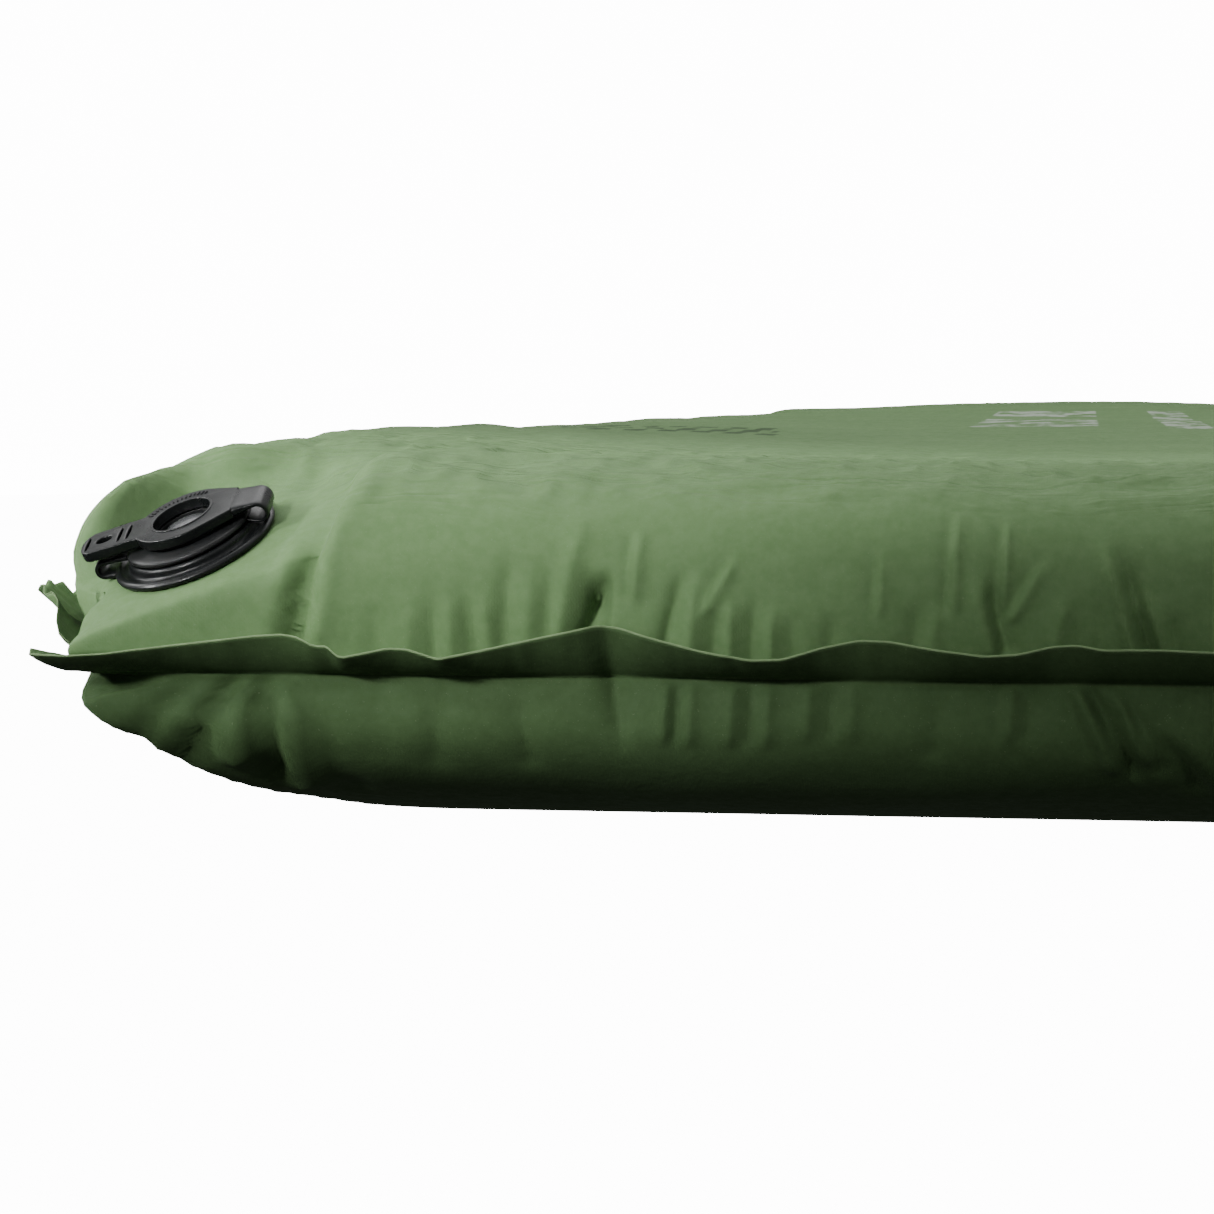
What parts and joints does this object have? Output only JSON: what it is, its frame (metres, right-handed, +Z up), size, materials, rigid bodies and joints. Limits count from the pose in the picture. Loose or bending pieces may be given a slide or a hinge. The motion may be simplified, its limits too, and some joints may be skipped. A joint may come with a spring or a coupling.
{
  "type": "inflatable sleeping pad",
  "caption": "Thick self-inflating sleeping pad: two welded fabric sheets over a foam core, with a folded three-layer air valve on one corner.",
  "frame": {"origin": "on the floor under the middle of the pad", "axes": "+Z up, +Y along the pad away from the valve end, +X across it away from the valve"},
  "size_m": [0.6508, 1.9708, 0.107],
  "materials": {
    "sheet_top": "coated polyester, satin",
    "sheet_bottom": "coated polyester, satin",
    "foam": "open-cell foam, matte",
    "valve_black": "moulded, satin",
    "valve_grey": "moulded, matte",
    "silicone": "translucent silicone, matte"
  },
  "bodies": {
    "pad": {"top_sheet": "sheet_top", "bottom_sheet": "sheet_bottom", "foam_core": "foam", "valve_weld_ring": "valve_black", "valve_foam_guard": "valve_grey", "valve_base": "valve_black", "plug_strap_loop": "valve_black"},
    "plug": {"deflation_plug": "valve_black", "flap_seat": "valve_grey", "cap_strap_loop": "valve_black"},
    "flap": {"non_return_flap": "silicone"},
    "cap": {"inflation_cap": "valve_black", "cap_stopper": "valve_black"}
  },
  "joints": [
    {"name": "plug_hinge", "type": "hinge", "parent": "pad", "child": "plug", "pos_m": [-0.31254, -0.94507, 0.0809], "axis": [0.0619, -0.9141, -0.4008], "range_deg": [0, 70], "deforming": ["plug_strap_loop"]},
    {"name": "cap_hinge", "type": "hinge", "parent": "plug", "child": "cap", "pos_m": [-0.26407, -0.95059, 0.10097], "axis": [-0.0619, 0.9141, 0.4008], "range_deg": [0, 110], "deforming": ["cap_strap_loop"]},
    {"name": "flap_lift", "type": "slide", "parent": "plug", "child": "flap", "axis": [0.3, 0.4, -0.866], "range_m": [0, 0.0012], "stiffness_N_per_m": 40, "springref_m": -0.0004}
  ]
}
